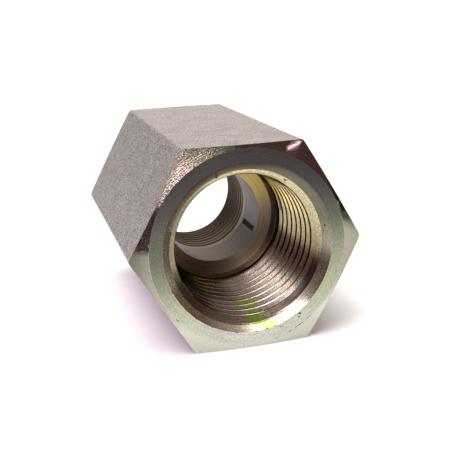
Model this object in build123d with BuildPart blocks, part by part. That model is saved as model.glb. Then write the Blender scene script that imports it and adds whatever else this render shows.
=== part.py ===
"""Threaded socket coupling: a hexagon steel bar, bored from both ends for pipe threads of two sizes.

Sizes are millimetres. The coupling lies on one flat of its hexagon. Its bore runs along Y, the larger
thread faces -Y, and the origin is under the middle of the bar, on the surface that it lies on.
"""
import os
from math import cos, radians, tan

from build123d import *

# Larger end, for a 1/2 inch taper pipe thread
front_bore_diameter = 17.9
front_bore_depth = 19.7
front_countersink_depth = 2.35

# Smaller end, for a 3/8 inch taper pipe thread
rear_bore_diameter = 14.6
rear_bore_depth = 16.5
rear_countersink_depth = 3.5

# Web that is left between the two bores, with its plain hole
web_length = 7.3
web_hole_diameter = 14.0

# Hexagon bar: the flat rim left around the larger mouth, and the turned chamfer of the corners
countersink_angle = 90.0
rim_width = 2.2
face_inset = 0.38
corner_chamfer_angle = 15.0

# Sizes that follow
countersink_slope = tan(radians(countersink_angle / 2))
front_mouth_radius = front_bore_diameter / 2 + front_countersink_depth * countersink_slope
rear_mouth_radius = rear_bore_diameter / 2 + rear_countersink_depth * countersink_slope
across_flats = 2 * (max(front_mouth_radius, rear_mouth_radius) + rim_width)
length = front_bore_depth + web_length + rear_bore_depth
web_end = front_bore_depth + web_length
corner_radius = across_flats / 2 / cos(radians(30))
face_radius = across_flats / 2 - face_inset
chamfer_depth = (corner_radius - face_radius) * tan(radians(corner_chamfer_angle))

# Places: the two end faces, and the lengthwise section that starts at the front face on the bore's axis
axis_height = across_flats / 2
front_face = Plane(origin=(0, -length / 2, axis_height), x_dir=(1, 0, 0), z_dir=(0, -1, 0))
section = Plane(origin=front_face.origin, x_dir=(0, 1, 0), z_dir=(1, 0, 0))
bore_axis = Axis(front_face.origin, (0, 1, 0))

with BuildPart() as coupling:
    # Hexagon bar with one flat down
    with BuildSketch(front_face):
        RegularPolygon(across_flats / 2, side_count=6, major_radius=False)
    extrude(amount=-length)

    # Turned outline of both ends: a flat face, then a shallow cone that takes only the corners
    with BuildSketch(section):
        with BuildLine():
            Polyline(
                (0, 0),
                (0, face_radius),
                (chamfer_depth, corner_radius),
                (length - chamfer_depth, corner_radius),
                (length, face_radius),
                (length, 0),
                close=True,
            )
        make_face()
    revolve(axis=bore_axis, mode=Mode.INTERSECT)

    # Stepped bore: countersunk bore, flat shoulder, plain hole through the web, countersunk bore
    with BuildSketch(section):
        with BuildLine():
            Polyline(
                (0, 0),
                (0, front_mouth_radius),
                (front_countersink_depth, front_bore_diameter / 2),
                (front_bore_depth, front_bore_diameter / 2),
                (front_bore_depth, web_hole_diameter / 2),
                (web_end, web_hole_diameter / 2),
                (web_end, rear_bore_diameter / 2),
                (length - rear_countersink_depth, rear_bore_diameter / 2),
                (length, rear_mouth_radius),
                (length, 0),
                close=True,
            )
        make_face()
    revolve(axis=bore_axis, mode=Mode.SUBTRACT)

coupling.part.label = "hex_coupling"
os.makedirs("parts", exist_ok=True)
export_step(coupling.part, "parts/hex_coupling.step")
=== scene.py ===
# %% [markdown]
# # A zinc plated reducing socket
# The real thing is one piece of hexagon steel bar: cut to length, turned at both ends, bored in steps,
# tapped with a taper pipe thread from each end, then zinc plated. The same order is followed here,
# because a workshop's cuts are easy to repeat with a bar, a few turned tools and two taps.
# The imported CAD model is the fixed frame: every length below starts from its box.

# %% Load the frame
import math
import random

import bmesh
import bpy
from mathutils import Matrix, Vector


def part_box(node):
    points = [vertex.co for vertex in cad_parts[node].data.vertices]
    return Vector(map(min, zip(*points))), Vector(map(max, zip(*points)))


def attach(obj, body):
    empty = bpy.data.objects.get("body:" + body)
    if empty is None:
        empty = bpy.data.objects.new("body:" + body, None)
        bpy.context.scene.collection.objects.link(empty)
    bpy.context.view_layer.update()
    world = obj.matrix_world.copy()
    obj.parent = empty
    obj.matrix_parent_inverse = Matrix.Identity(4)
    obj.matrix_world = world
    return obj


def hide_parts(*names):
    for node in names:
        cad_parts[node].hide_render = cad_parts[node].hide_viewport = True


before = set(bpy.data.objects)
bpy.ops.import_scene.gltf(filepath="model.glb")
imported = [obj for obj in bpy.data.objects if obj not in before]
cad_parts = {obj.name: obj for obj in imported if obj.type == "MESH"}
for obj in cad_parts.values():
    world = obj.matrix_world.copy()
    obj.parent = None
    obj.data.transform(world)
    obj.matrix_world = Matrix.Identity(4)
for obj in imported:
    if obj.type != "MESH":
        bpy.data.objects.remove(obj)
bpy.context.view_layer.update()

MM = 0.001
low, high = (Vector(corner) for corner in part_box("hex_coupling"))
across_flats = high.z - low.z
across_corners = high.x - low.x
front = low.y
length = high.y - front
axis_height = (low.z + high.z) / 2
bore_axis = Vector((0, 0, axis_height))
front_centre = bore_axis + Vector((0, front, 0))
print("bar", round(across_flats / MM, 2), "mm across flats,", round(length / MM, 2), "mm long")

# %% [markdown]
# ## The bar
# Cold drawn hexagon bar has flat sides and corners with a small radius from the die. A circle of six
# corners, extruded and bevelled along its long edges, gives exactly that, and keeps the width across
# the flats at the CAD's value.

# %% A bmesh becomes a piece
weld = 0.0005 * MM


def piece_from(bm, name):
    """Turn a finished bmesh into an object, with its faces pointing outwards."""
    bmesh.ops.remove_doubles(bm, verts=bm.verts, dist=weld)
    bmesh.ops.recalc_face_normals(bm, faces=bm.faces)
    mesh = bpy.data.meshes.new(name)
    bm.to_mesh(mesh)
    bm.free()
    made = bpy.data.objects.new(name, mesh)
    bpy.context.collection.objects.link(made)
    return made


# %% Draw the bar
corner_radius = 0.3 * MM

bm = bmesh.new()
standing = Matrix.Translation(front_centre) @ Matrix.Rotation(math.pi / 2, 4, "X")
standing = standing @ Matrix.Rotation(math.pi / 6, 4, "Z")
bmesh.ops.create_circle(bm, cap_ends=True, segments=6, radius=across_corners / 2, matrix=standing)
drawn = bmesh.ops.extrude_face_region(bm, geom=bm.faces[:])
far_end = [item for item in drawn["geom"] if isinstance(item, bmesh.types.BMVert)]
bmesh.ops.translate(bm, vec=(0, length, 0), verts=far_end)
long_edges = [e for e in bm.edges if abs(e.verts[0].co.y - e.verts[1].co.y) > MM]
bmesh.ops.bevel(bm, geom=long_edges, offset=corner_radius, offset_type="OFFSET", segments=3,
                profile=0.5, affect="EDGES", material=-1)
bar = piece_from(bm, "coupling_body")
print("bar", [round(v / MM, 2) for v in bar.dimensions], "mm,", len(bar.data.polygons), "faces")

# %% [markdown]
# ## The turned ends
# In the lathe both ends are faced and their corners are turned to a shallow cone, which leaves a
# scallop on each flat. A turned blank, spun from its outline round the bore axis, is intersected with
# the bar, so the scallops come by themselves where the cone runs out on the flats.

# %% A turned shape
turning_steps = 192


def turned(outline, name):
    """Spin an outline of (radius, depth from the front face) round the bore axis."""
    bm = bmesh.new()
    points = [bm.verts.new((radius, front + depth, axis_height)) for radius, depth in outline]
    edges = [bm.edges.new(pair) for pair in zip(points, points[1:])]
    bmesh.ops.spin(bm, geom=points + edges, cent=bore_axis, axis=(0, 1, 0), dvec=(0, 0, 0),
                   angle=2 * math.pi, steps=turning_steps, use_merge=True, use_duplicate=False)
    return piece_from(bm, name)


# %% A cut
def apply_cut(work, tool, operation):
    """Cut the work with the tool, keep the result in the work's own mesh and drop the tool.

    The cut leaves a few points that all but touch. They are welded, so that the mesh stays closed.
    """
    cut = work.modifiers.new(tool.name, "BOOLEAN")
    cut.operation = operation
    cut.solver = "EXACT"
    cut.material_mode = "TRANSFER" if len(tool.data.materials) else "INDEX"
    cut.object = tool
    bpy.context.view_layer.update()
    after = bpy.data.meshes.new_from_object(work.evaluated_get(bpy.context.evaluated_depsgraph_get()))
    bm = bmesh.new()
    bm.from_mesh(after)
    bmesh.ops.remove_doubles(bm, verts=bm.verts, dist=weld)
    bmesh.ops.dissolve_degenerate(bm, edges=bm.edges, dist=weld)
    print(tool.name, "->", len(bm.faces), "faces, open edges", sum(not e.is_manifold for e in bm.edges))
    bm.to_mesh(after)
    bm.free()
    work.modifiers.clear()
    work.data = after
    bpy.data.objects.remove(tool)


# %% Turn the ends
face_radius = 13.12 * MM
chamfer_slope = math.tan(math.radians(15))
edge_break = 0.08 * MM
break_depth = edge_break * 0.6
clearance = 0.5 * MM

reach = across_corners / 2 + clearance
drop = (reach - face_radius) * chamfer_slope
blank = turned([(0, 0), (face_radius - edge_break, 0), (face_radius, break_depth),
                (reach, break_depth + drop), (reach, length - break_depth - drop),
                (face_radius, length - break_depth), (face_radius - edge_break, length),
                (0, length)], "blank")
apply_cut(bar, blank, "INTERSECT")

# %% [markdown]
# ## The stepped bore
# The drill and the boring bar leave a wide bore, a flat shoulder, a plain hole in the web and a smaller
# bore behind it. Each mouth has a 90 degree countersink, and the wide one a second, flatter cone inside
# it. The shoulder falls off by 10 degrees, as a drill leaves it. One turned tool cuts all of them.

# %% Sizes of the bore
front_bore = 17.9 / 2 * MM
front_bore_end = 19.7 * MM
web_hole = 14.0 / 2 * MM
web_end = 27.0 * MM
rear_bore = 14.6 / 2 * MM
front_mouth = 22.6 / 2 * MM
mouth_step = 20.48 / 2 * MM
rear_mouth = 21.6 / 2 * MM
step_depth = front_mouth - mouth_step
band_slope = math.tan(math.radians(30))
band_end = step_depth + (mouth_step - front_bore) * band_slope
shoulder_fall = (front_bore - web_hole) * math.tan(math.radians(10))
print("second cone ends", round(band_end / MM, 2), "mm deep, shoulder falls", round(shoulder_fall / MM, 2))

# %% Bore it
past = 1.0 * MM

bore = turned([(0, -past), (front_mouth + past, -past), (front_mouth, 0), (mouth_step, step_depth),
               (front_bore, band_end), (front_bore, front_bore_end - shoulder_fall),
               (web_hole, front_bore_end), (web_hole, web_end), (rear_bore, web_end),
               (rear_bore, length - (rear_mouth - rear_bore)), (rear_mouth, length),
               (rear_mouth + past, length + past), (0, length + past)], "bore")
apply_cut(bar, bore, "DIFFERENCE")

# %% [markdown]
# ## The taper threads
# A pipe tap has a 55 degree thread with rounded crests and roots. It is drawn a little further out than
# the drilled wall, so a narrow worn flat stays on each crest of the coupling's thread. The tap grows
# thicker by one sixteenth of its length. One pitch of its outline is repeated along the tap, and spin
# turns it round while it moves it on by one pitch, so the last outline lands on the first one and the
# turns join. Two cuts across give the tap its flat ends. The taper and the lead at its tip come from
# moving the points in or out, and the cut runs the thread out through the countersink as the real tap does.

# %% One pitch of the thread
half_angle = math.radians(55 / 2)
# Shares of the pitch: height of the tap's thread, worn flat on the crest, and radius of the rounding
tap_height = 0.640
worn_share = 0.02
rounding_share = 0.137
rounding_steps = 3


def thread_outline(pitch):
    """Points (height above the crest of the part's thread, place along it) over one pitch."""
    rounding = rounding_share * pitch
    height = tap_height * pitch
    worn_flat = worn_share * pitch
    turn = math.pi / 2 - half_angle
    half = []
    for step in range(rounding_steps + 1):
        swing = turn * step / rounding_steps
        half.append((rounding * (1 - math.cos(swing)), rounding * math.sin(swing)))
    root = [(height - up, pitch / 2 - along) for up, along in half]
    climb = half + root[::-1]
    fall = [(up, pitch - along) for up, along in climb[-2:0:-1]]
    whole = [(up - worn_flat, along) for up, along in climb + fall]
    flat_half = rounding * math.sin(math.acos(1 - worn_flat / rounding))
    flat = [(0, -flat_half), (0, flat_half)]
    return flat + [point for point in whole if point[0] > 0.01 * worn_flat]


# %% The thread's long surface
tap_steps = 160
seam_gap = 0.002 * MM


def thread_surface(pitch, first_crest, start, end, crest_at_mouth):
    """A thread with no taper that runs past both start and end, to be cut off there."""
    bm = bmesh.new()
    turns = math.ceil((end - start) / pitch) + 3
    begin = first_crest - pitch * math.ceil((first_crest - start) / pitch + 1.5)
    outline = [(up, begin + along + pitch * turn) for turn in range(turns)
               for up, along in thread_outline(pitch)]
    points = [bm.verts.new((crest_at_mouth + up, front + along, axis_height)) for up, along in outline]
    edges = [bm.edges.new(pair) for pair in zip(points, points[1:])]
    bmesh.ops.spin(bm, geom=points + edges, cent=bore_axis, axis=(0, 1, 0),
                   dvec=(0, pitch / tap_steps, 0), angle=2 * math.pi, steps=tap_steps,
                   use_merge=False, use_duplicate=False)
    bmesh.ops.remove_doubles(bm, verts=bm.verts, dist=seam_gap)
    return bm


# %% A solid tap
taper = 1 / 32
cut_reach = 1e-7


def tap(name, pitch, first_crest, start, end, crest_at_mouth, lead, mouth_at_start):
    """A solid tap: depths run from the front face, and first_crest is a crest's depth at angle 0."""
    bm = thread_surface(pitch, first_crest, start, end, crest_at_mouth)
    full = (tap_height - worn_share) * pitch
    mouth, tip = (start, end) if mouth_at_start else (end, start)
    for vert in bm.verts:
        depth = vert.co.y - front
        from_mouth = abs(depth - mouth)
        from_tip = abs(depth - tip)
        out = Vector((vert.co.x, 0, vert.co.z - axis_height))
        radius = out.length - taper * from_mouth
        led_in = crest_at_mouth - taper * from_mouth + full * min(1, from_tip / lead)
        radius = min(radius, max(led_in, 0))
        out *= radius / out.length
        vert.co = Vector((out.x, vert.co.y, out.z + axis_height))
    for place, side in ((start, -1), (end, 1)):
        bmesh.ops.bisect_plane(bm, geom=bm.verts[:] + bm.edges[:] + bm.faces[:], dist=cut_reach,
                               plane_co=(0, front + place, 0), plane_no=(0, side, 0),
                               clear_outer=True, clear_inner=False)
        rim = [e for e in bm.edges if e.is_boundary and
               all(abs(v.co.y - front - place) < 0.001 * MM for v in e.verts)]
        bmesh.ops.edgeloop_fill(bm, edges=rim)
    print(name, len(bm.faces), "faces, open edges", sum(e.is_boundary for e in bm.edges))
    return piece_from(bm, name)


# %% Tap both ends
front_pitch = 25.4 / 14 * MM
rear_pitch = 25.4 / 19 * MM
crest_at_mouth = 18.95 / 2 * MM
thread_end = 17.3 * MM
overhang = 0.6 * MM

front_tap = tap("front_tap", front_pitch, first_crest=3.1 * MM, start=-overhang, end=thread_end,
                crest_at_mouth=crest_at_mouth, lead=2.5 * MM, mouth_at_start=True)
apply_cut(bar, front_tap, "DIFFERENCE")
rear_tap = tap("rear_tap", rear_pitch, first_crest=40.6 * MM, start=28.6 * MM, end=length + overhang,
               crest_at_mouth=15.2 / 2 * MM, lead=2.0 * MM, mouth_at_start=False)
apply_cut(bar, rear_tap, "DIFFERENCE")

# %% [markdown]
# ## Which finish each face carries
# The plating is one, but the steel below it was drawn, faced, bored or tapped, and each of those leaves
# its own grain. A face is known by where it lies: its distance from the bore axis, its depth and the
# way it looks. Edges sharper than 30 degrees stay crisp and the rest are shaded smooth.

# %% Names and limits
FINISHES = ["drawn_flats", "turned_corners", "faced_ends_with_painted_reflection", "countersinks", "front_thread",
            "plain_walls_painted_shade", "web_hole", "rear_thread", "skimmed_corner", "mouth_band", "shoulders",
            "thread_crests_painted_shade"]
crisp_angle = math.radians(30)
tolerance = 0.03 * MM
skin = 0.3 * MM
crest_height = 0.09 * MM
run_out = 0.6 * MM
# Cosines of the angles between which the tool only skimmed the rough bar
skimmed_from = -0.994
skimmed_to = 0.02


# %% The finish of one face
def outer_finish(along, cosine, on_top):
    """Finish of a face on the outside, by how far it looks along the bar and where it is."""
    if along < 0.15:
        return "drawn_flats"
    return "skimmed_corner" if on_top and skimmed_from < cosine < skimmed_to else "turned_corners"


def finish_of(face):
    """Name in FINISHES for one face of the coupling."""
    centre = face.center
    depth = centre.y - front
    from_end = min(depth, length - depth)
    near_front = depth < length / 2
    radius = math.hypot(centre.x, centre.z - axis_height)
    along = abs(face.normal.y)
    outside = face.normal.x * centre.x + face.normal.z * (centre.z - axis_height) > 0
    if radius > face_radius - skin and outside and along < 0.99:
        return outer_finish(along, centre.x / radius, near_front and centre.z > axis_height)
    if along > 0.99 and from_end < tolerance:
        return "faced_ends_with_painted_reflection"
    mouth = front_mouth if near_front else rear_mouth
    if abs(radius - mouth + from_end) < tolerance and 0.6 < along < 0.8:
        return "countersinks"
    if abs(mouth_step - radius - (depth - step_depth) / band_slope) < tolerance and along > 0.8:
        return "mouth_band"
    if depth < thread_end:
        crest = crest_at_mouth - taper * (depth + overhang)
        at_crest = radius < crest + crest_height and depth < thread_end - run_out
        return "thread_crests_painted_shade" if at_crest else "front_thread"
    if depth < front_bore_end + tolerance:
        return "shoulders" if along > 0.5 else "plain_walls_painted_shade"
    return "web_hole" if depth < web_end + tolerance else "rear_thread"


# %% Sort the faces
for face in bar.data.polygons:
    face.material_index = FINISHES.index(finish_of(face))
    face.use_smooth = True
bar.data.set_sharp_from_angle(angle=crisp_angle)
for index, finish in enumerate(FINISHES):
    print(finish, sum(face.material_index == index for face in bar.data.polygons), "faces")

# %% [markdown]
# ## The zinc plating
# Bright zinc with a clear chromate is a metal colour with a hint of yellow, green and pink, because the
# chromate film is about as thick as the waves of light. All finishes share it. What differs is the
# grain below: sand-like on the drawn flats, fine rings where a tool has turned the metal. Every pattern
# comes from noise in the node tree, on the object's own coordinates, so it needs no picture.

# %% One function for nodes, one for colours
def linear(code):
    """An sRGB hex value as the linear colour that a shader needs."""
    parts = [int(code[i:i + 2], 16) / 255 for i in (1, 3, 5)]
    return [c / 12.92 if c <= 0.04045 else ((c + 0.055) / 1.055) ** 2.4 for c in parts] + [1.0]


def add(tree, kind, inputs=None, **settings):
    """Add one node with its settings, and set or link its inputs."""
    node = tree.nodes.new(kind)
    for key, value in settings.items():
        setattr(node, key, value)
    for key, value in (inputs or {}).items():
        if isinstance(value, bpy.types.NodeSocket):
            tree.links.new(value, node.inputs[key])
        else:
            node.inputs[key].default_value = value
    return node


def new_finish(name):
    """An empty material and the shader that its nodes lead to."""
    material = bpy.data.materials.new(name)
    material.use_nodes = True
    tree = material.node_tree
    return material, tree, tree.nodes["Principled BSDF"]


def per(size):
    """Texture scale that gives features of this size in mm."""
    return 1 / (size * MM)


# %% [markdown]
# ## Rough and dull skins
# Drawing leaves the bar's flats matt, like fine sand, with grains of a few hundredths of a millimetre.
# That is finer than a pixel, so the grain is drawn as coarse as it needs to show, and stretched along
# the bar, the way it went through the die. Fresh knocks have no plating left. Their bare steel has gone
# dark and mirrors almost nothing, so it is made as a dull skin, not as a metal.

# %% Rough skin
GRAIN_STRETCH = (1, 0.35, 1)


def rough_finish(name, dark_tone, light_tone, grain_size, contrast, grain_height, roughness):
    """Plated metal over the sand-like skin of drawn steel, with sizes in mm."""
    material, tree, shader = new_finish(name)
    place = add(tree, "ShaderNodeTexCoord").outputs["Object"]
    drawn = add(tree, "ShaderNodeVectorMath", {0: place, 1: GRAIN_STRETCH}, operation="MULTIPLY")
    grain = add(tree, "ShaderNodeTexNoise", {"Vector": drawn.outputs[0], "Scale": per(grain_size),
                                            "Detail": 3.0, "Roughness": 0.7})
    patch = add(tree, "ShaderNodeTexNoise", {"Vector": place, "Scale": per(2.5), "Detail": 4.0})
    tone = add(tree, "ShaderNodeMix", {0: patch.outputs[0], 6: linear(dark_tone),
                                       7: linear(light_tone)}, data_type="RGBA")
    speck = add(tree, "ShaderNodeMapRange", {0: grain.outputs[0], 1: 0.38, 2: 0.62,
                                             3: 1 - contrast, 4: 1 + contrast})
    colour = add(tree, "ShaderNodeMix", {0: 1.0, 6: tone.outputs[2], 7: speck.outputs[0]},
                 data_type="RGBA", blend_type="MULTIPLY")
    bumps = add(tree, "ShaderNodeBump", {"Strength": 1.0, "Distance": grain_height * MM,
                                         "Height": grain.outputs[0]})
    tree.links.new(colour.outputs[2], shader.inputs["Base Color"])
    tree.links.new(bumps.outputs[0], shader.inputs["Normal"])
    shader.inputs["Metallic"].default_value = 1.0
    shader.inputs["Roughness"].default_value = roughness
    return material


# %% Dull skin
def dull_finish(name, tone, roughness):
    """A dark, dry film that mirrors almost nothing, a little uneven."""
    material, tree, shader = new_finish(name)
    place = add(tree, "ShaderNodeTexCoord").outputs["Object"]
    cloud = add(tree, "ShaderNodeTexNoise", {"Vector": place, "Scale": per(0.3), "Detail": 3.0})
    shade = add(tree, "ShaderNodeMapRange", {0: cloud.outputs[0], 1: 0.3, 2: 0.7, 3: 0.6, 4: 1.4})
    colour = add(tree, "ShaderNodeMix", {0: 1.0, 6: linear(tone), 7: shade.outputs[0]},
                 data_type="RGBA", blend_type="MULTIPLY")
    tree.links.new(colour.outputs[2], shader.inputs["Base Color"])
    shader.inputs["Roughness"].default_value = roughness
    shader.inputs["Specular IOR Level"].default_value = 0.2
    return material


# %% [markdown]
# ## Turned skins
# A lathe tool leaves fine rings, one for each turn of the work, and they stretch every highlight across
# themselves. The rings are noise on the distance from the bore axis and the depth alone, and the stretch
# is the shader's anisotropy, with its tangent running round the axis. The chromate film has another
# thickness on each side of the mouth, so the colour drifts to a tint round some angles. The film's
# colours are fixed to the metal here, where the real ones move a little with the eye.

# %% Where a point lies round the axis
def round_the_axis(tree):
    """Sockets for a point: its place, distance from the axis, way out from it, and place along it."""
    place = add(tree, "ShaderNodeTexCoord").outputs["Object"]
    from_axis = add(tree, "ShaderNodeVectorMath", {0: place, 1: bore_axis}, operation="SUBTRACT")
    flat = add(tree, "ShaderNodeVectorMath", {0: from_axis.outputs[0], 1: (1, 0, 1)},
               operation="MULTIPLY")
    radius = add(tree, "ShaderNodeVectorMath", {0: flat.outputs[0]}, operation="LENGTH")
    around = add(tree, "ShaderNodeVectorMath", {0: flat.outputs[0]}, operation="NORMALIZE")
    parts = add(tree, "ShaderNodeSeparateXYZ", {0: from_axis.outputs[0]})
    return place, radius.outputs["Value"], around.outputs[0], parts.outputs[1]


# %% Tints of the chromate film
ALL = (-9, 99)
FRONT = (-9, 20)
depth_fade = 1.5


def tint(angle, full, gone, code, depths=ALL):
    """A colour round an angle, whole to full degrees from it and gone at gone, between depths in mm."""
    return angle, full, gone, code, *depths


def side(angle):
    """The way out from the bore axis at this angle in degrees, 0 to the right and 90 up."""
    return (math.cos(math.radians(angle)), 0, math.sin(math.radians(angle)))


def tinted(tree, plain, tints, around, along):
    """The plain colour with each tint mixed over it at its own place."""
    hue = linear(plain)
    depth = add(tree, "ShaderNodeMath", {0: along, 1: front}, operation="SUBTRACT").outputs[0]
    for angle, full, gone, code, start, end in tints:
        near = add(tree, "ShaderNodeVectorMath", {0: around, 1: side(angle)}, operation="DOT_PRODUCT")
        turned_to = add(tree, "ShaderNodeMapRange", {0: near.outputs["Value"],
                                                     1: math.cos(math.radians(gone)),
                                                     2: math.cos(math.radians(full))},
                        interpolation_type="SMOOTHSTEP")
        begun = add(tree, "ShaderNodeMapRange", {0: depth, 1: (start - depth_fade) * MM,
                                                 2: (start + depth_fade) * MM})
        ended = add(tree, "ShaderNodeMapRange", {0: depth, 1: (end - depth_fade) * MM,
                                                 2: (end + depth_fade) * MM, 3: 1.0, 4: 0.0})
        within = add(tree, "ShaderNodeMath", {0: begun.outputs[0], 1: ended.outputs[0]},
                     operation="MULTIPLY")
        share = add(tree, "ShaderNodeMath", {0: turned_to.outputs[0], 1: within.outputs[0]},
                    operation="MULTIPLY")
        hue = add(tree, "ShaderNodeMix", {0: share.outputs[0], 6: hue, 7: linear(code)},
                  data_type="RGBA").outputs[2]
    return hue


# %% Turned skin
cloud_size = 1.2
grit_size = 0.18


def turned_finish(name, plain, tints, roughness, ring_size, ring_depth, spin_gloss=0.4, grit=0.12,
                  grit_depth=0.3, grazed="#FFFFFF"):
    """Plated metal with tool rings round the bore axis, with sizes in mm.

    Real rings and grit are near 0.1 mm and smaller, and are drawn wider so that they show. grit_depth
    is the grit's height as a share of the rings', and grazed is the colour that the metal keeps where
    the eye looks along it.
    """
    material, tree, shader = new_finish(name)
    place, radius, around, along = round_the_axis(tree)
    rings = add(tree, "ShaderNodeCombineXYZ", {0: radius, 1: along})
    ring_noise = add(tree, "ShaderNodeTexNoise", {"Vector": rings.outputs[0], "Scale": per(ring_size),
                                                  "Detail": 2.0})
    cloud = add(tree, "ShaderNodeTexNoise", {"Vector": place, "Scale": per(cloud_size), "Detail": 5.0})
    grains = add(tree, "ShaderNodeTexNoise", {"Vector": place, "Scale": per(grit_size), "Detail": 2.0})
    drift = add(tree, "ShaderNodeVectorMath", {0: cloud.outputs["Color"], 1: (0.5, 0.5, 0.5)},
                operation="SUBTRACT")
    blurred = add(tree, "ShaderNodeVectorMath", {0: drift.outputs[0], 1: (0.06, 0, 0.06), 2: around},
                  operation="MULTIPLY_ADD")
    hue = tinted(tree, plain, tints, blurred.outputs[0], along)
    stripe = add(tree, "ShaderNodeMapRange", {0: ring_noise.outputs[0], 1: 0.3, 2: 0.7, 3: 0.86,
                                              4: 1.08})
    grain = add(tree, "ShaderNodeMapRange", {0: grains.outputs[0], 1: 0.3, 2: 0.7,
                                             3: 1 - grit, 4: 1 + grit})
    shade = add(tree, "ShaderNodeMath", {0: stripe.outputs[0], 1: grain.outputs[0]},
                operation="MULTIPLY")
    colour = add(tree, "ShaderNodeMix", {0: 1.0, 6: hue, 7: shade.outputs[0]}, data_type="RGBA",
                 blend_type="MULTIPLY")
    height = add(tree, "ShaderNodeMath", {0: grains.outputs[0], 1: grit_depth, 2: ring_noise.outputs[0]},
                 operation="MULTIPLY_ADD")
    bumps = add(tree, "ShaderNodeBump", {"Strength": 1.0, "Distance": ring_depth * MM,
                                         "Height": height.outputs[0]})
    tangent = add(tree, "ShaderNodeVectorMath", {0: (0, 1, 0), 1: around}, operation="CROSS_PRODUCT")
    tree.links.new(colour.outputs[2], shader.inputs["Base Color"])
    tree.links.new(bumps.outputs[0], shader.inputs["Normal"])
    tree.links.new(tangent.outputs[0], shader.inputs["Tangent"])
    shader.inputs["Metallic"].default_value = 1.0
    shader.inputs["Roughness"].default_value = roughness
    shader.inputs["Specular Tint"].default_value = linear(grazed)
    shader.inputs["Anisotropic"].default_value = spin_gloss
    shader.inputs["Anisotropic Rotation"].default_value = 0.25
    return material


# %% [markdown]
# ## The outside
# The flats keep the drawn bar's matt, pinkish grey. The tool cut most corners clean, and they shine. It
# only skimmed the upper left ones, where the old rough skin glitters through. The end faces have the
# finest rings and a pale green cast.

# %% Flats, corners and end faces
finishes = {}
# Matt grey with a sandy grain and soft cloudy patches
finishes["drawn_flats"] = rough_finish(
    "zinc_on_drawn_steel", "#88827F", "#B8B2B0", grain_size=0.18, contrast=0.55, grain_height=0.06,
    roughness=0.5)
# Coarse glitter on a warm ground, darker in a few bands
finishes["skimmed_corner"] = turned_finish(
    "zinc_on_skimmed_corner", "#DCC6BE",
    [tint(104, 10, 26, "#928A7A"), tint(94, 6, 16, "#6A6458"), tint(88, 4, 10, "#4C4A40"),
     tint(162, 9, 15, "#5E4E4A")],
    roughness=0.24, ring_size=0.22, ring_depth=0.06, spin_gloss=0.2, grit=0.6, grit_depth=1.2)
# Almost a mirror, with each reflection drawn out along the bar
finishes["turned_corners"] = turned_finish(
    "zinc_on_turned_corner", "#C8CCBC",
    [tint(60, 25, 45, "#A49090", FRONT), tint(0, 15, 45, "#969584"), tint(180, 30, 50, "#ACAC9A")],
    roughness=0.08, ring_size=0.25, ring_depth=0.001, spin_gloss=0.98, grit=0.1)
# Satin with fine rings, greener to the left and the right. A little darker over the top half and lighter at
# the bottom: painted reflection, added to the one from the cards
finishes["faced_ends_with_painted_reflection"] = turned_finish(
    "faced_end_with_painted_reflection", "#C2C8B8",
    [tint(90, 50, 90, "#BCBCB8"), tint(200, 12, 50, "#CED8B8"), tint(-12, 12, 45, "#BAC2A4"),
     tint(-90, 8, 20, "#CCD0C4")],
    roughness=0.24, ring_size=0.25, ring_depth=0.0012, spin_gloss=0.5, grit=0.25, grit_depth=0.5)
print(len(finishes), "finishes for the outside")

# %% [markdown]
# ## The mouth and the thread
# The countersink and the band inside it are turned more coarsely than the end faces, and near their
# bottom the film goes lime green. The thread is gold at the top and pinkish grey at the bottom. Its
# crests carry painted shade: they are near black, as the shadowed gaps between the flanks, except at
# the bottom, where they are light and catch the light.

# %% Countersink, band and thread
# Grey green with clear rings, pale at the bottom and with one lime patch
finishes["countersinks"] = turned_finish(
    "zinc_on_countersink", "#A8A48C",
    [tint(-95, 60, 85, "#DCD0C0"), tint(-79, 3, 8, "#A4C464", FRONT), tint(52, 30, 56, "#787664")],
    roughness=0.24, ring_size=0.25, ring_depth=0.005, spin_gloss=0.4, grit=0.25, grit_depth=0.8)
# A bright straw yellow rim, brown below
finishes["mouth_band"] = turned_finish(
    "zinc_on_mouth_band", "#D8D2A8",
    [tint(180, 25, 60, "#8C8570"), tint(-75, 50, 70, "#8C7C6C"), tint(-40, 12, 30, "#5A4E4C"),
     tint(-82, 1, 7, "#909C60", FRONT)],
    roughness=0.24, ring_size=0.25, ring_depth=0.003, spin_gloss=0.4, grit=0.4, grit_depth=1.2,
    grazed="#B0A898")
# Golden flanks above, pinkish grey ones below, all with a fine glitter
finishes["front_thread"] = turned_finish(
    "zinc_on_front_thread", "#CFC49A",
    [tint(-85, 62, 78, "#B4A296"), tint(-86, 1, 9, "#A0BC54", (-9, 8)),
     tint(34, 12, 26, "#F8E4A0", (4, 99)), tint(66, 14, 28, "#DCB858", (7, 99)),
     tint(178, 40, 70, "#8A8268", (-9, 5)), tint(-128, 24, 44, "#5C5856", (8, 99)),
     tint(76, 14, 26, "#5E5038", (3, 11))],
    roughness=0.2, ring_size=0.2, ring_depth=0.004, spin_gloss=0.4, grit=0.35, grit_depth=1.4)
# Painted shade: near black lines between the flanks, dark even where the eye looks along them, turning to
# bright ones at the bottom
finishes["thread_crests_painted_shade"] = turned_finish(
    "thread_crest_painted_shade", "#1E1A16", [tint(-75, 33, 52, "#C8BAB0")],
    roughness=0.2, ring_size=0.2, ring_depth=0.004, spin_gloss=0.4, grit=0.2, grit_depth=0.6,
    grazed="#484440")
print(len(finishes), "finishes with the mouth and the thread")

# %% [markdown]
# ## Deep in the bore
# Deep in the bore the finishes are darker, duller and browner than at the mouth, and the plain wall
# past the last turn is painted dark as shade. The shoulder is golden at its top, and the hole in the web
# is a plain warm grey.

# %% Walls, shoulder, web and rear thread
# Painted shade: dark and dull, lighter only at the bottom, so that the ring past the last turn reads as a
# shadow
finishes["plain_walls_painted_shade"] = turned_finish(
    "bored_wall_painted_shade", "#6C665C", [tint(-95, 50, 80, "#B8A698")],
    roughness=0.45, ring_size=0.3, ring_depth=0.004)
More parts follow.
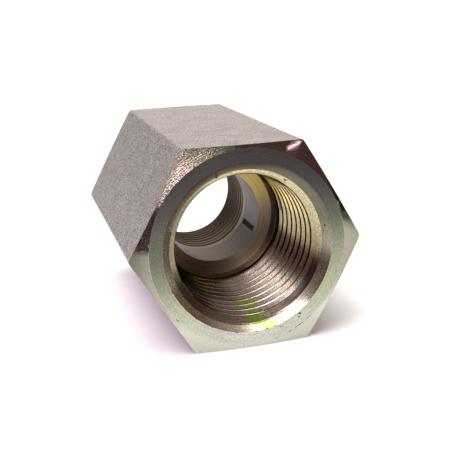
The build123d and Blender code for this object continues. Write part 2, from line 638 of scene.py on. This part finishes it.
# Satin gold with an orange edge at the top, brown at the bottom
finishes["shoulders"] = turned_finish(
    "zinc_on_drilled_shoulder", "#C9B49C",
    [tint(55, 15, 60, "#F0D47C"), tint(95, 5, 30, "#FFAC5C"), tint(-115, 30, 60, "#94826E")],
    roughness=0.3, ring_size=0.3, ring_depth=0.015)
# Warm grey with a soft gloss and a little grit
finishes["web_hole"] = turned_finish(
    "zinc_in_web_hole", "#60564F", [tint(12, 12, 40, "#544A45")],
    roughness=0.4, ring_size=0.4, ring_depth=0.006, spin_gloss=0.4, grit=0.3, grit_depth=0.8)
# Dull brown grey, one tone all round
finishes["rear_thread"] = turned_finish(
    "zinc_on_rear_thread", "#8E826E", [], roughness=0.46, ring_size=0.2, ring_depth=0.003)
for finish in FINISHES:
    bar.data.materials.append(finishes[finish])
print(len(finishes), "finishes on", bar.name)

# %% [markdown]
# ## Knocks and marks
# The real coupling has been handled: there are pits and short scratches by the lower right of the mouth,
# the mouth's lower edge is a little ragged, and a dark score runs along the hole in the web. They are cut
# last, as they happened last. Flattened spheres and one long block make a single tool, and the Boolean
# hands the tool's dark finish on to the faces that it cuts.

# %% Marks with a place of their own
# Angle in degrees, then in mm: distance from the axis, depth, length around, width outwards, height
nicks = [(-55.9, 11.67, 0, 0.26, 0.42, 0.24), (-57.7, 11.98, 0, 0.2, 0.24, 0.16),
         (-57.9, 13.05, 0, 0.3, 0.12, 0.16), (-59.9, 13.0, 0, 0.45, 0.16, 0.18),
         (-61.9, 13.0, 0, 0.35, 0.14, 0.18), (-63.2, 13.0, 0, 0.18, 0.14, 0.16),
         (-66.9, 13.03, 0, 0.9, 0.1, 0.12), (-71.4, 11.76, 0, 0.18, 0.2, 0.14),
         (-69.8, 11.87, 0, 0.18, 0.18, 0.14), (-76.0, 13.08, 0, 0.9, 0.1, 0.14),
         (-53.0, 12.95, 0, 0.8, 0.08, 0.1), (-39.0, 13.12, 0, 0.8, 0.1, 0.14),
         (10.5, 10.70, 0.6, 0.34, 0.2, 0.2), (110.9, 10.15, 1.11, 0.34, 0.26, 0.2),
         (57.2, 9.95, 1.23, 0.4, 0.28, 0.2), (177.8, 11.25, 0, 0.3, 0.2, 0.16),
         (-140.7, 13.0, 0, 0.5, 0.12, 0.1)]

# %% Nicks along two edges
chance = random.Random(7)
mouth_nick_angles = (-58.5, -62, -66.5, -71, -74.5, -80, -88, -101, -119, -133, -158)
mouth_edge = 11.31
first_top_angle = 66
top_step = 4.4

for angle in mouth_nick_angles:
    turned_by = angle + chance.uniform(-0.8, 0.8)
    nicks.append((turned_by, mouth_edge, 0, chance.uniform(0.3, 0.6), chance.uniform(0.1, 0.15), 0.12))
for step in range(12):
    angle = first_top_angle + top_step * step + chance.uniform(-1.4, 1.4)
    out = across_flats / MM / 2 / math.sin(math.radians(angle))
    edge = (out - face_radius / MM) * chamfer_slope
    nicks.append((angle, out, edge, chance.uniform(0.2, 0.6), chance.uniform(0.1, 0.16), 0.3))
print(len(nicks), "nicks and pits")

# %% Cut the marks
# A nick's middle stands just proud of its face and it leans a little, so that no edges coincide
proud = 0.013
lean = 0.1
score_angle = 25
score_middle = (7.0, 23.35, 0)
score_size = (0.2, 5.7, 0.8)

bm = bmesh.new()
for angle, out, depth, along, across, deep in nicks:
    place = Matrix.Translation(front_centre)
    place = place @ Matrix.Rotation(-math.radians(angle), 4, "Y")
    place = place @ Matrix.Translation(Vector((out, depth - proud, 0)) * MM)
    place = place @ Matrix.Rotation(lean, 4, "Z")
    place = place @ Matrix.Diagonal((across * MM / 2, deep * MM / 2, along * MM / 2, 1))
    bmesh.ops.create_icosphere(bm, subdivisions=2, radius=1.0, matrix=place)
place = Matrix.Translation(front_centre)
place = place @ Matrix.Rotation(math.radians(score_angle), 4, "Y")
place = place @ Matrix.Translation(Vector(score_middle) * MM)
place = place @ Matrix.Diagonal([size * MM for size in score_size] + [1])
bmesh.ops.create_cube(bm, size=1.0, matrix=place)
marks = piece_from(bm, "marks")
# Bare steel gone dark: a dry, almost black film with no mirror in it
marks.data.materials.append(dull_finish("dark_bare_steel", "#161514", roughness=0.7))
apply_cut(bar, marks, "DIFFERENCE")
bar.data.set_sharp_from_angle(angle=crisp_angle)
for index, finish in enumerate(bar.data.materials):
    print(finish.name, sum(face.material_index == index for face in bar.data.polygons), "faces")

# %% Hand the piece to the frame
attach(bar, "root")
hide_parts("hex_coupling")

# %% [markdown]
# ## Floor, light and camera
# The photograph was taken close by, on white paper under a soft light from above, and the metal mirrors
# a darker room in front of it. The floor is a large pale sheet, the world is bright behind and above
# and dark in front, and black and white cards give the metal its dark and bright bands.

# %% Floor
bm = bmesh.new()
bmesh.ops.create_grid(bm, x_segments=1, y_segments=1, size=6.0)
floor = piece_from(bm, "paper_floor")
# Matt white paper, with the faint clouds of its pulp
material, tree, shader = new_finish("white_paper")
place = add(tree, "ShaderNodeTexCoord").outputs["Object"]
pulp = add(tree, "ShaderNodeTexNoise", {"Vector": place, "Scale": per(2.0), "Detail": 3.0})
shade = add(tree, "ShaderNodeMix", {0: pulp.outputs[0], 6: linear("#F4F4F4"), 7: linear("#FCFCFC")},
            data_type="RGBA")
tree.links.new(shade.outputs[2], shader.inputs["Base Color"])
shader.inputs["Roughness"].default_value = 0.9
shader.inputs["Specular IOR Level"].default_value = 0.1
floor.data.materials.append(material)
print("floor", [round(v, 1) for v in floor.dimensions], "m")

# %% [markdown]
# ## The room
# A bright zinc face shows little of its own and much of what stands round it. The room is a gradient:
# dim and warm in front, white behind, a soft grey overhead, and duller far to the left. The camera
# itself sees plain white in every direction, as the photograph's background is.

# %% World
world = bpy.data.worlds.new("soft_room")
bpy.context.scene.world = world
world.use_nodes = True
tree = world.node_tree
way = add(tree, "ShaderNodeSeparateXYZ", {0: add(tree, "ShaderNodeTexCoord").outputs["Generated"]})
behind = add(tree, "ShaderNodeMapRange", {0: way.outputs[1], 1: 0.1, 2: 0.6},
             interpolation_type="SMOOTHSTEP")
level = add(tree, "ShaderNodeMapRange", {0: behind.outputs[0], 3: 0.22, 4: 1.22})
above = add(tree, "ShaderNodeMapRange", {0: way.outputs[2], 1: 0.3, 2: 0.9, 3: 0.0, 4: 0.65},
            interpolation_type="SMOOTHSTEP")
glow = add(tree, "ShaderNodeMath", {0: level.outputs[0], 1: above.outputs[0]}, operation="MAXIMUM")
rightward = add(tree, "ShaderNodeMapRange", {0: way.outputs[0], 1: -0.45, 2: 0.05})
cast = add(tree, "ShaderNodeMix", {0: rightward.outputs[0], 6: linear("#A6A4A4"), 7: linear("#FFF4EE")},
           data_type="RGBA")
room = add(tree, "ShaderNodeMix", {0: behind.outputs[0], 6: linear("#C8A898"), 7: cast.outputs[2]},
           data_type="RGBA")
dome = add(tree, "ShaderNodeMix", {0: above.outputs[0], 6: room.outputs[2], 7: linear("#ECE8E0")},
           data_type="RGBA")
straight = add(tree, "ShaderNodeLightPath").outputs["Is Camera Ray"]
strength = add(tree, "ShaderNodeMix", {0: straight, 2: glow.outputs[0], 3: 1.1})
colour = add(tree, "ShaderNodeMix", {0: straight, 6: dome.outputs[2], 7: linear("#FFFFFF")},
             data_type="RGBA")
tree.links.new(strength.outputs[0], tree.nodes["Background"].inputs["Strength"])
tree.links.new(colour.outputs[2], tree.nodes["Background"].inputs["Color"])

# %% Soft lights
def softbox(name, place, width, height, watts, colour="#FFFFFF"):
    """A rectangular lamp that looks at the coupling, with its place and size in metres."""
    lamp = bpy.data.lights.new(name, "AREA")
    lamp.shape = "RECTANGLE"
    lamp.size = width
    lamp.size_y = height
    lamp.energy = watts
    lamp.color = linear(colour)[:3]
    box = bpy.data.objects.new(name, lamp)
    box.location = place
    box.rotation_euler = (Vector(place) - bore_axis).to_track_quat("Z", "Y").to_euler()
    bpy.context.collection.objects.link(box)
    print(name, watts, "W")
    return box


softbox("front_softbox", (-0.094, -0.443, 0.21), width=0.3, height=0.13, watts=0.34)
softbox("side_softbox", (-0.168, -0.215, 0.42), width=0.22, height=0.26, watts=1.0)
softbox("small_lamp", (0.218, -0.306, 0.15), width=0.002, height=0.04, watts=0.008, colour="#FFF0F8")
# This one only tints the shadow on the left
lilac = softbox("lilac_lamp", (-0.45, -0.05, 0.22), width=0.15, height=0.15, watts=0.6, colour="#F090FF")
lilac.visible_glossy = False

# %% Skylight
sky = bpy.data.objects.new("skylight", bpy.data.lights.new("skylight", "SUN"))
sky.data.angle = math.radians(60)
sky.data.energy = 2.2
sky.rotation_euler = Vector((-0.08, 0.0, 0.80)).to_track_quat("Z", "Y").to_euler()
bpy.context.collection.objects.link(sky)

# %% [markdown]
# ## Cards for the metal to mirror
# A photographer sets cards round bright metal and shapes its reflections with them. A low black card
# stands in front, where the upper half of the end face mirrors it. A graded one lies on the floor, with
# a painted shadow like the one the camera throws on the paper in front, and gives the face its fade to
# bright at the bottom. Only the metal sees them.

# %% A card
def card(name, spread, felt):
    """A card that only the metal sees: the camera looks through it and it throws no shadow."""
    bm = bmesh.new()
    bmesh.ops.create_grid(bm, x_segments=1, y_segments=1, size=1.0, matrix=spread)
    made = piece_from(bm, name)
    made.data.materials.append(felt)
    made.visible_camera = False
    made.visible_shadow = False
    made.visible_diffuse = False
    print(name, [round(v, 3) for v in made.dimensions], "m")
    return made


# %% Black card
# Dry felt, brownish on the left and near black on the right
black_felt, tree, shader = new_finish("black_felt")
sideways = add(tree, "ShaderNodeSeparateXYZ", {0: add(tree, "ShaderNodeTexCoord").outputs["Object"]})
fade = add(tree, "ShaderNodeMapRange", {0: sideways.outputs[0], 1: -0.05, 2: 0.0})
tone = add(tree, "ShaderNodeMix", {0: fade.outputs[0], 6: linear("#54423C"), 7: linear("#262424")},
           data_type="RGBA")
tree.links.new(tone.outputs[2], shader.inputs["Base Color"])
shader.inputs["Roughness"].default_value = 1.0
upright = Matrix.Translation((0.02, -0.105, 0.015)) @ Matrix.Rotation(math.pi / 2, 4, "X")
card("black_card", upright @ Matrix.Diagonal((0.14, 0.015, 1, 1)), black_felt)

# %% Graded card with a painted shadow
# Matt paper with a painted shadow, like the camera's on the floor: dark in front and round one spot, and
# white near the coupling
graded, tree, shader = new_finish("painted_shadow_paper")
place = add(tree, "ShaderNodeTexCoord").outputs["Object"]
parts = add(tree, "ShaderNodeSeparateXYZ", {0: place})
ahead = add(tree, "ShaderNodeMapRange", {0: parts.outputs[1], 1: -0.080, 2: -0.045})
offset = add(tree, "ShaderNodeVectorMath", {0: place, 1: (-0.008, -0.085, 0)}, operation="DISTANCE")
around = add(tree, "ShaderNodeMapRange", {0: offset.outputs["Value"], 1: 0.02, 2: 0.07})
least = add(tree, "ShaderNodeMath", {0: ahead.outputs[0], 1: around.outputs[0]}, operation="MINIMUM")
level = add(tree, "ShaderNodeMapRange", {0: least.outputs[0], 3: 0.13, 4: 0.93},
            interpolation_type="SMOOTHSTEP")
tree.links.new(level.outputs[0], shader.inputs["Base Color"])
shader.inputs["Roughness"].default_value = 0.9
shader.inputs["Specular IOR Level"].default_value = 0.1
lying = Matrix.Translation((0.0, -0.428, 0.0003)) @ Matrix.Diagonal((0.6, 0.4, 1, 1))
card("painted_shadow_card", lying, graded)

# %% [markdown]
# ## The camera
# Its place, turn and lens were worked out from the photograph: from the outline of the hexagon, the
# circle of the turned corners and the rim of the countersink. The shift moves the picture's centre,
# as in a photograph that was cropped.

# %% Camera
camera = bpy.data.objects.new("camera", bpy.data.cameras.new("camera"))
bpy.context.collection.objects.link(camera)
camera.location = (-0.028013, -0.122697, 0.044194)
camera.rotation_euler = (1.234017, 0.031602, -0.312841)
camera.data.sensor_width = 36.0
camera.data.lens = 66.433
camera.data.shift_x = -0.10185
camera.data.shift_y = 0.13632
camera.data.clip_start = 0.01
camera.data.dof.use_dof = False
bpy.context.scene.camera = camera
bpy.context.scene.view_settings.view_transform = "Standard"
print("camera", round((camera.location - front_centre).length / MM), "mm from the front face")
